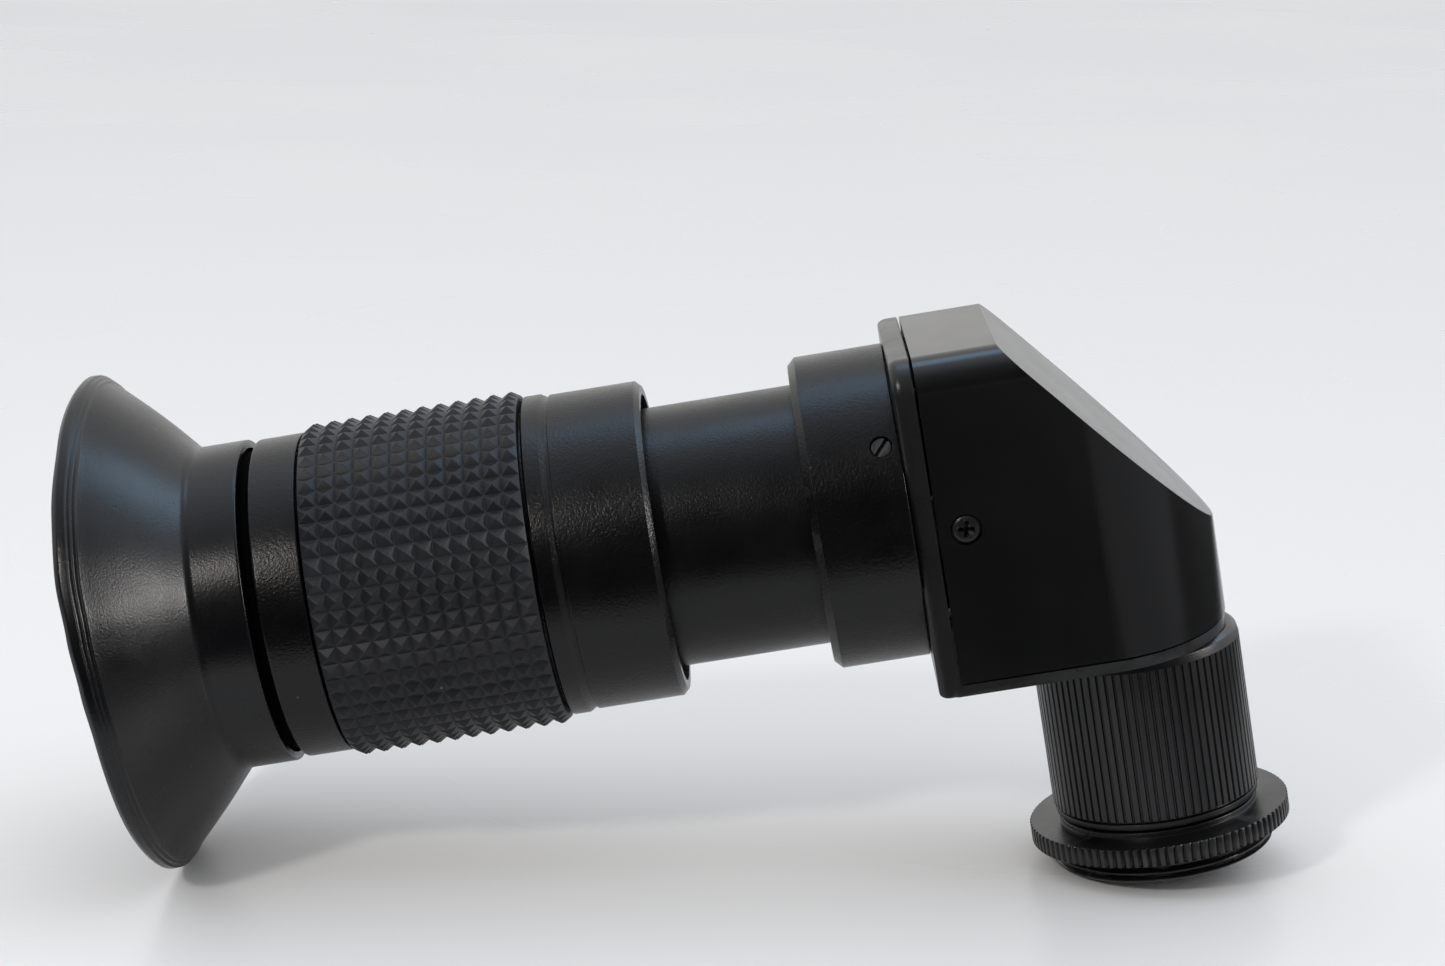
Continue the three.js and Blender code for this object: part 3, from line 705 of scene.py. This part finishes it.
def radial_matrix(angle):
    """Takes +Z to the outward direction at an angle about the tube: 0 faces the near side, 90 up."""
    outward = at(0, -math.sin(math.radians(angle)), -math.cos(math.radians(angle)))
    return Matrix.Translation(at(GRUB_S, 0, 0)) @ outward.to_track_quat("Z", "Y").to_matrix().to_4x4()


collar = spun("collar", rounded([
    (COLLAR_IN, 14.15), (COLLAR_IN, COLLAR_R, 0.18), (COLLAR_OUT - 0.75, COLLAR_R, 0.07),
    (COLLAR_OUT, COLLAR_R - 0.75, 0.07), (COLLAR_OUT, 13.05, 0.1), (27.4, 13.05), (27.4, 14.15),
]), "tube")
for angle in GRUB_ANGLES:
    hole = extruded(circle(GRUB_HOLE_R, 40), as_drawn, 13, 17)
    hole.transform(radial_matrix(angle))
    collar = combined(collar, hole, "DIFFERENCE")
finished(softened(object_of("collar_turned", collar), 0.07, 2, 40), "collar")

slot_outline = [(-3, -SLOT_HALF), (3, -SLOT_HALF), (3, SLOT_HALF), (-3, SLOT_HALF)]
for number, angle in enumerate(GRUB_ANGLES, 1):
    body = extruded(circle(GRUB_R, 40), as_drawn, GRUB_LOW, GRUB_TOP)
    slot = extruded(slot_outline, as_drawn, SLOT_LOW, 16)
    place = radial_matrix(angle)
    along = (place.to_3x3().inverted() @ at(1, 0, 0)).normalized()
    slot.transform(Matrix.Rotation(math.atan2(along.y, along.x) + math.radians(SLOT_TURN), 4, "Z"))
    body = combined(body, slot, "DIFFERENCE")
    body.transform(place)
    finished(softened(object_of(f"slotted_grub_{number}", body), 0.05, 2, 35), f"grub_screw_{number}")

KEY_S = 56.5
KEYWAY_HALF = 1.15
KEYWAY_END = 64          # the key's way in the eyepiece cell is as long as the focus travel needs
CELL_IN = 50


def keyway(start, end, low, high):
    """The cutter for the way that the guide key stands in, under the tube axis."""
    section = [(-KEYWAY_HALF, low), (KEYWAY_HALF, low), (KEYWAY_HALF, high), (-KEYWAY_HALF, high)]
    return extruded(section, from_eye, start, end)


turned_piece("inner_tube_turned", "inner_tube", [
    (26.2, 11.7), (26.2, BOSS_R), (27.2, BOSS_R), (27.2, TUBE_R), (52.2, TUBE_R), (52.2, 13.45),
    (60.2, 13.45), (60.2, 11.7),
], cutter=keyway(KEY_S - KEYWAY_HALF, KEY_S + KEYWAY_HALF, 10, 14))

# ---------------------------------------------------------------- focusing barrel and band

BARREL_R = 15.7
BAND_R = 15.9
SEAT_R = 14.9
GRIP_IN = 56.25
GRIP_OUT = 77.65
BAND_OUT = 82.55

turned_piece("focus_barrel_turned", "focus_barrel", [
    (44.3, 14.3), (44.3, 15.15, 0.06), (44.85, BARREL_R, 0.1), (53.3, BARREL_R, 0.05), (53.36, 15.52, 0.04),
    (53.62, 15.52, 0.04), (54.25, BAND_R, 0.1), (55.78, BAND_R, 0.14), (55.98, 15.6, 0.1), (55.98, SEAT_R),
    (GRIP_OUT, SEAT_R), (GRIP_OUT, 14.1), (66.3, 14.1), (66.3, 13.55), (48.2, 13.55), (48.2, 13.0),
    (47.0, 13.0), (47.0, 14.3),
])

turned_piece("front_band_turned", "front_band", [
    (69.4, 12.35), (69.4, 14.0), (77.95, 14.0), (77.95, BAND_R, 0.16), (BAND_OUT, BAND_R, 0.35),
    (BAND_OUT, 13.9), (87.4, 13.9, 0.15), (87.4, 12.35, 0.15),
])

# the eyecup ring carries painted shade: it is made near black and glossless so that it reads as the shaded
# gap between the cup and the band
turned_piece("eyecup_ring_turned", "eyecup_ring", [
    (82.7, 14.05), (82.7, SEAT_R, 0.12), (87.6, SEAT_R, 0.12), (87.6, 14.05),
], finish=PAINTED_GAP_SHADE)

turned_piece("eyepiece_cell_turned", "eyepiece_cell", [
    (CELL_IN, 9.9), (CELL_IN, 11.55), (66.6, 11.55), (66.6, 13.95), (69.1, 13.95), (69.1, 12.15),
    (84.2, 12.15, 0.2), (84.2, 10.9, 0.2), (66, 10.9), (66, 9.9),
], cutter=keyway(CELL_IN - PAST, KEYWAY_END, 10.7, 13.7))
turned_piece("eye_lens_ring_turned", "eye_lens_ring", [
    (80.1, 10.7), (82.6, 10.7, 0.25), (82.6, 10.1, 0.1), (81.7, 9.6, 0.1), (80.1, 9.6, 0.1),
])
lens_piece("eye_lens_polished", "eye_lens", 77.3, 79.9, 10.7, 0.3, 0.9, "tube", EYE_GLASS)

# ---------------------------------------------------------------- rubber grip

GRIP_R = 16.62
GRIP_BORE = 15.0
PYRAMID = 0.45           # height of a pyramid
VALLEY = 0.1             # depth of the valley below its foot
VALLEY_SHARE = 0.075     # half the valley's width, as a share of the pitch
COLUMNS = 12
ROWS = 58


def grip_mesh():
    """Square pyramids in straight rows, with a narrow valley moulded between neighbours."""
    pitch = (GRIP_OUT - GRIP_IN) / COLUMNS
    points, faces = [], []

    def point(column, row, radius):
        angle = 2 * math.pi * row / ROWS
        points.append(at(GRIP_IN + column * pitch, -radius * math.sin(angle), -radius * math.cos(angle)))
        return len(points) - 1

    base = GRIP_R - PYRAMID
    low, high = VALLEY_SHARE, 1 - VALLEY_SHARE
    foot_corners = [(low, low), (high, low), (high, high), (low, high)]
    corners = [[point(c, r, base - VALLEY) for r in range(ROWS)] for c in range(COLUMNS + 1)]
    for c in range(COLUMNS):
        for r in range(ROWS):
            n = (r + 1) % ROWS
            outer = [corners[c][r], corners[c + 1][r], corners[c + 1][n], corners[c][n]]
            foot = [point(c + a, r + b, base) for a, b in foot_corners]
            tip = point(c + 0.5, r + 0.5, GRIP_R)
            for k in range(4):
                m = (k + 1) % 4
                faces.append((outer[k], outer[m], foot[m], foot[k]))
                faces.append((foot[k], foot[m], tip))
    inner = [[point(c, r, GRIP_BORE) for r in range(ROWS)] for c in (0, COLUMNS)]
    for r in range(ROWS):
        n = (r + 1) % ROWS
        faces.append((corners[0][n], corners[0][r], inner[0][r], inner[0][n]))
        faces.append((corners[COLUMNS][r], corners[COLUMNS][n], inner[1][n], inner[1][r]))
        faces.append((inner[0][n], inner[0][r], inner[1][r], inner[1][n]))
    return mesh_of("grip", points, faces)


finished(softened(object_of("grip_pyramids", grip_mesh(), 14), 0.05, 2, 14), "rubber_grip")

# ---------------------------------------------------------------- eyecup

CUP_IN = 83.6
CUP_NECK_R = 16.1
CUP_BORE = 15.25
CUP_CREASE = 88.7
LEAN_LENGTH = 9.2
# how far the rim leans towards the eye, at angles about the tube in degrees
RIM_LEAN = [(-90, -1.05), (-60, -0.75), (-35, -0.55), (-12, -0.58), (0, -0.4), (12, -0.15), (25, 0.14),
            (40, 0.06), (60, -0.25), (90, -0.6), (135, -0.45), (180, -0.2), (225, -0.5), (270, -1.05)]


def leaned(station, angle):
    """How far the soft rim leans along the tube at an angle: it is worn out of true."""
    share = max(0.0, station - CUP_CREASE) / LEAN_LENGTH
    turn = (math.degrees(angle) + 90) % 360 - 90
    for (low, low_lean), (high, high_lean) in zip(RIM_LEAN, RIM_LEAN[1:]):
        if low <= turn <= high:
            part = (turn - low) / (high - low)
            return share ** 1.5 * (low_lean + (high_lean - low_lean) * part * part * (3 - 2 * part))
    return 0.0


def curve(start, control, end, steps):
    """Points along a bow from start to end that leans towards the control point."""
    start, control, end = Vector(start), Vector(control), Vector(end)
    shares = [k / steps for k in range(steps + 1)]
    return [tuple(start * (1 - t) ** 2 + control * 2 * t * (1 - t) + end * t ** 2) for t in shares]


flare = curve((90.2, 17.72), (92.7, 20.45), (96.7, 23.72), 14)
eyecup_outline = rounded([
    (CUP_IN, CUP_BORE, 0.1), (CUP_IN, CUP_NECK_R, 0.3), (CUP_CREASE, CUP_NECK_R, 1.2), *flare,
    # narrow ridges round the outside of the rim
    (96.78, 23.82, 0.03), (96.9, 24.08, 0.08), (97.12, 24.14, 0.06), (97.2, 24.22, 0.03),
    (97.3, 24.42, 0.08), (97.52, 24.48, 0.06), (97.6, 24.56, 0.04), (97.7, 24.74, 0.1),
    # the bead and the inside of the flare
    (98.45, 24.8, 0.5), (99.05, 24.35, 0.35), (98.85, 23.5, 0.4), (97.2, 22.1, 0.4),
    (89.9, 14.6, 0.6), (89.2, 13.6, 0.3), (89.2, 12.6, 0.2), (87.9, 12.6, 0.2), (87.9, CUP_BORE, 0.2),
])


def eyecup_mesh():
    """The cup's outline turned about the tube, with its rim leaning."""
    segments = 224
    points = []
    for station, radius in eyecup_outline:
        for k in range(segments):
            angle = 2 * math.pi * k / segments
            s = station + leaned(station, angle)
            points.append(at(s, -radius * math.sin(angle), -radius * math.cos(angle)))
    return mesh_of("eyecup", points, ring_faces(len(eyecup_outline), segments))


eyecup_piece = object_of("eyecup_moulded", eyecup_mesh(), 50)
# the rim is pressed flat where it touches the table
for vertex in eyecup_piece.data.vertices:
    vertex.co.z = max(vertex.co.z, 0.0)
finished(eyecup_piece, "eyecup")

# ---------------------------------------------------------------- swivelling mount

RIB_COUNT = 76
RIB_DEPTH = 0.24
RIB_LAND = 0.64          # the share of each rib's pitch that stands at full height
RIB_SLOPE = 0.09
RIB_START = 18.3
RIB_END = 33.4
SLEEVE_R = 10.3
SLEEVE_NECK_R = 7
SLEEVE_STEP_R = 8.2


def land_and_groove(phase, land, slope):
    """0 on a raised land and 1 at the bottom of a groove, over one period."""
    distance = abs((phase % 1) - 0.5)
    return min(1.0, max(0.0, (distance - land / 2) / slope))


def rib_relief(station, radius, angle):
    """Straight ribs along the sleeve."""
    if not RIB_START + 0.02 < station < RIB_END + 0.01 or radius < SLEEVE_R - 0.1:
        return radius
    return radius - RIB_DEPTH * land_and_groove(angle * RIB_COUNT / (2 * math.pi), RIB_LAND, RIB_SLOPE)


turned_piece("ribbed_sleeve_turned", "ribbed_sleeve", [
    (13, 5.7), (13, SLEEVE_NECK_R, 0.2), (13.9, SLEEVE_NECK_R), (13.9, 6.4), (14.9, 6.4),
    (14.9, SLEEVE_NECK_R), (17, SLEEVE_NECK_R), (17, 9.55, 0.3), (17.5, 10.12, 0.4),
    (RIB_START, SLEEVE_R, 0.1), (18.34, SLEEVE_R), (18.5, SLEEVE_R), (RIB_END, SLEEVE_R),
    (RIB_END + 0.06, 10.28), (33.55, 9.78, 0.06), (33.72, 9.78, 0.06), (33.84, 10.08, 0.08),
    (34.4, 10.08, 0.14), (34.5, 9.8), (34.5, SLEEVE_STEP_R), (38.45, SLEEVE_STEP_R), (38.45, 7.8),
    (39.05, 7.8), (39.05, SLEEVE_STEP_R), (39.2, SLEEVE_STEP_R, 0.1), (39.2, 7.2, 0.1), (20.5, 7.2),
    (20.5, 5.7),
], axis="mount", segments=RIB_COUNT * 10, relief=rib_relief)

TOOTH_COUNT = 94
TOOTH_DEPTH = 0.22
TOOTH_LAND = 0.44
TOOTH_SLOPE = 0.2
FLANGE_R = 12.95
FLANGE_EDGE_R = 12.78
THREAD_R = 10.95
THREAD_PITCH = 0.75
THREAD_DEPTH = 0.42
THREAD_START = 37.45
THREAD_STEEPNESS = 2.6
OBJECTIVE_R = 7.05


def ring_relief(station, radius, angle):
    """Knurling on the flange's rim, and a real helical thread below it."""
    if 35.36 < station < 37.12 and radius > 12.8:
        phase = angle * TOOTH_COUNT / (2 * math.pi)
        return radius - TOOTH_DEPTH * land_and_groove(phase, TOOTH_LAND, TOOTH_SLOPE)
    if THREAD_START < station < 39.3 and radius > 10.4:
        phase = (station / THREAD_PITCH + angle / (2 * math.pi)) % 1
        ridge = min(1.0, THREAD_STEEPNESS * min(phase, 1 - phase))
        return THREAD_R - THREAD_DEPTH + THREAD_DEPTH * ridge
    return radius


thread_rows = [(THREAD_START + THREAD_PITCH / 10 * k, THREAD_R) for k in range(1, 25)]
turned_piece("lock_ring_knurled", "lock_ring", [
    (34.75, 8.3), (34.75, 9.85, 0.12), (35.3, 9.9, 0.06), (35.3, FLANGE_EDGE_R, 0.05), (35.37, 12.93),
    (35.4, FLANGE_R), (37.1, FLANGE_R), (37.13, 12.93), (37.2, FLANGE_EDGE_R, 0.05), (37.2, 11.2, 0.04),
    (36.9, 11.2), (36.9, 10.5), (THREAD_START, 10.5), *thread_rows,
    (39.32, THREAD_R), (39.5, THREAD_R - 0.2, 0.08), (39.5, 9.7, 0.08), (38.3, 9.6), (38.3, 8.3),
], axis="mount", segments=TOOTH_COUNT * 8, relief=ring_relief)

turned_piece("objective_ring_turned", "objective_retaining_ring", [
    (29.6, OBJECTIVE_R), (29.6, 6.2), (30.6, 6.2, 0.1), (31, 6.5, 0.1), (31, OBJECTIVE_R, 0.1),
], axis="mount", segments=96)
lens_piece("objective_rear_polished", "objective_rear_lens", 27.2, 29, OBJECTIVE_R, 0.4, 0.4,
           "mount", INNER_GLASS)
lens_piece("objective_front_polished", "objective_lens", 21.6, 23.6, OBJECTIVE_R, 0.7, 0.6,
           "mount", INNER_GLASS)

# ---------------------------------------------------------------- floor, light and camera

FLOOR_HALF = 6
FLAG_LIFT = 0.0006
WALL_COLOUR = (0.8, 0.8, 0.805, 1)
# the studio's colours from the floor in front, over the top, to the floor behind
WORLD_STOPS = [(0.0, (0.02, 0.02, 0.02)), (0.16, (0.04, 0.04, 0.04)), (0.3, (0.2, 0.21, 0.22)),
               (0.42, (0.75, 0.8, 0.88)), (0.56, (0.95, 1.0, 1.08)), (0.75, (0.95, 0.95, 0.95)),
               (1.0, (0.95, 0.94, 0.92))]


def floor_material():
    """Pale, nearly matt board with a faint cloudiness."""
    material = bpy.data.materials.new("pale_floor")
    nodes, links = links_of(material)
    output = nodes.new("ShaderNodeOutputMaterial")
    shader = nodes.new("ShaderNodeBsdfPrincipled")
    links.new(shader.outputs["BSDF"], output.inputs["Surface"])
    place = nodes.new("ShaderNodeTexCoord").outputs["Object"]
    cloud = noise(nodes, links, place, 6, 2)
    tone = mixed(nodes, links, cloud, (0.83, 0.83, 0.833), (0.86, 0.86, 0.86))
    links.new(tone, shader.inputs["Base Color"])
    links.new(spread(nodes, links, cloud, *MIDDLE, 0.24, 0.32), shader.inputs["Roughness"])
    shader.inputs["Specular IOR Level"].default_value = 0.12
    return material


def card(name, corners, material):
    """A flat four-cornered stage piece."""
    mesh = mesh_of(name, corners, [(0, 1, 2, 3)])
    mesh.materials.append(material)
    piece = bpy.data.objects.new(name, mesh)
    bpy.context.scene.collection.objects.link(piece)
    return piece


def floor_corners(left, right, front, back, height=0):
    """The corners of a rectangle lying level, seen from above."""
    return [(left, front, height), (right, front, height), (right, back, height), (left, back, height)]


card("floor", floor_corners(-FLOOR_HALF, FLOOR_HALF, -FLOOR_HALF, FLOOR_HALF), floor_material())


def reflected_card(name, left, right, front, back, grey):
    """A matt card lying on the floor that only reflections see from above, as a studio flag."""
    material = bpy.data.materials.new(name)
    nodes, links = links_of(material)
    output = nodes.new("ShaderNodeOutputMaterial")
    shader = nodes.new("ShaderNodeBsdfDiffuse")
    shader.inputs["Color"].default_value = (grey, grey, grey * 1.02, 1)
    above = nodes.new("ShaderNodeMixShader")
    links.new(nodes.new("ShaderNodeNewGeometry").outputs["Backfacing"], above.inputs["Fac"])
    links.new(shader.outputs["BSDF"], above.inputs[1])
    links.new(nodes.new("ShaderNodeBsdfTransparent").outputs["BSDF"], above.inputs[2])
    links.new(above.outputs["Shader"], output.inputs["Surface"])
    flag = card(name, floor_corners(left, right, front, back, FLAG_LIFT), material)
    flag.visible_camera = False
    flag.visible_diffuse = False
    flag.visible_shadow = False
    flag.visible_transmission = False


reflected_card("front_flag", -1.5, 0.07, -2, -0.062, 0.01)
reflected_card("front_right_flag", 0.07, 0.3, -2, -0.035, 0.3)
reflected_card("far_right_flag", 0.3, 1.5, -2, -0.035, 0.5)
reflected_card("right_flag", 0.125, 1.5, -0.035, 0.3, 0.03)


def studio_world():
    """Light from all round: dark in front, bright and slightly blue overhead, white behind."""
    world = bpy.data.worlds.new("studio")
    bpy.context.scene.world = world
    world.use_nodes = True
    nodes, links = world.node_tree.nodes, world.node_tree.links
    nodes.clear()
    output = nodes.new("ShaderNodeOutputWorld")
    direction = nodes.new("ShaderNodeTexCoord").outputs["Generated"]
    parts = nodes.new("ShaderNodeSeparateXYZ")
    links.new(direction, parts.inputs["Vector"])
    forward = nodes.new("ShaderNodeMath")
    forward.operation = "MULTIPLY"
    links.new(parts.outputs["Y"], forward.inputs[0])
    forward.inputs[1].default_value = -1
    angle = nodes.new("ShaderNodeMath")
    angle.operation = "ARCTAN2"
    links.new(parts.outputs["Z"], angle.inputs[0])
    links.new(forward.outputs["Value"], angle.inputs[1])
    share = spread(nodes, links, angle.outputs["Value"], 0, math.pi, 0, 1)
    ramp = nodes.new("ShaderNodeValToRGB")
    for end, (position, colour) in zip(ramp.color_ramp.elements, (WORLD_STOPS[0], WORLD_STOPS[-1])):
        end.position = position
        end.color = (*colour, 1)
    for position, colour in WORLD_STOPS[1:-1]:
        element = ramp.color_ramp.elements.new(position)
        element.color = (*colour, 1)
    links.new(share, ramp.inputs["Fac"])
    shaped = nodes.new("ShaderNodeBackground")
    shaped.inputs["Strength"].default_value = 1.0
    links.new(ramp.outputs["Color"], shaped.inputs["Color"])
    plain = nodes.new("ShaderNodeBackground")
    plain.inputs["Color"].default_value = WALL_COLOUR
    choice = nodes.new("ShaderNodeMixShader")
    links.new(nodes.new("ShaderNodeLightPath").outputs["Is Camera Ray"], choice.inputs["Fac"])
    links.new(shaped.outputs["Background"], choice.inputs[1])
    links.new(plain.outputs["Background"], choice.inputs[2])
    links.new(choice.outputs["Shader"], output.inputs["Surface"])


studio_world()


def area_light(name, position, target, size, power, colour, diffuse=True, gloss=True):
    """A soft light, which can be left out of the diffuse light or out of the gloss."""
    data = bpy.data.lights.new(name, "AREA")
    data.shape = "RECTANGLE"
    data.size, data.size_y = size
    data.energy = power
    data.color = colour
    light = bpy.data.objects.new(name, data)
    light.location = position
    light.visible_camera = False
    light.visible_diffuse = diffuse
    light.visible_glossy = gloss
    light.rotation_euler = (Vector(target) - Vector(position)).to_track_quat("-Z", "Y").to_euler()
    bpy.context.scene.collection.objects.link(light)


MIDDLE_OF_PART = (0, 0, 0.03)

area_light("overhead", (-0.1, 0.3, 1.1), (0, 0.05, 0), (1.2, 1.0), 0.4, (0.96, 0.98, 1.0))
area_light("front_fill", (0, -0.75, 0.85), (0, 0, 0), (1.6, 1.2), 5.6, (1.0, 1.0, 1.0), gloss=False)
area_light("warm_lamp", (-0.29, -0.42, 0.35), (-0.04, 0, 0.03), (0.06, 0.06), 1.0, (1.0, 0.95, 0.9))
area_light("side_lamp", (0.583, -0.141, 0.282), (-0.05, 0, 0.03), (0.08, 0.08), 1.5, (1.0, 0.96, 0.93),
           diffuse=False)
area_light("sky_window", (0.5, 0.31, 0.62), MIDDLE_OF_PART, (0.3, 0.3), 1.1, (0.45, 0.72, 1.0),
           diffuse=False)
area_light("ceiling_window", (-0.06, 0.17, 0.62), MIDDLE_OF_PART, (0.2, 0.2), 0.35, (0.35, 0.65, 1.0),
           diffuse=False)

CAMERA_RIGHT = Vector((0.99999, 0.00518, 0.00278)).normalized()
CAMERA_FORWARD = Vector((-0.00445, 0.97558, -0.2196)).normalized()
CAMERA_PLACE = (0.00474, -0.30694, 0.10794)
camera_up = CAMERA_RIGHT.cross(CAMERA_FORWARD).normalized()
camera_axes = Matrix((CAMERA_RIGHT, camera_up, -CAMERA_FORWARD)).transposed().to_4x4()
camera_data = bpy.data.cameras.new("camera")
camera_data.lens = 79.57
camera_data.sensor_width = 36
camera_data.clip_start = 0.01
camera_data.clip_end = 50
camera = bpy.data.objects.new("camera", camera_data)
camera.matrix_world = Matrix.Translation(CAMERA_PLACE) @ camera_axes
bpy.context.scene.collection.objects.link(camera)
bpy.context.scene.camera = camera
bpy.context.scene.view_settings.view_transform = "Standard"
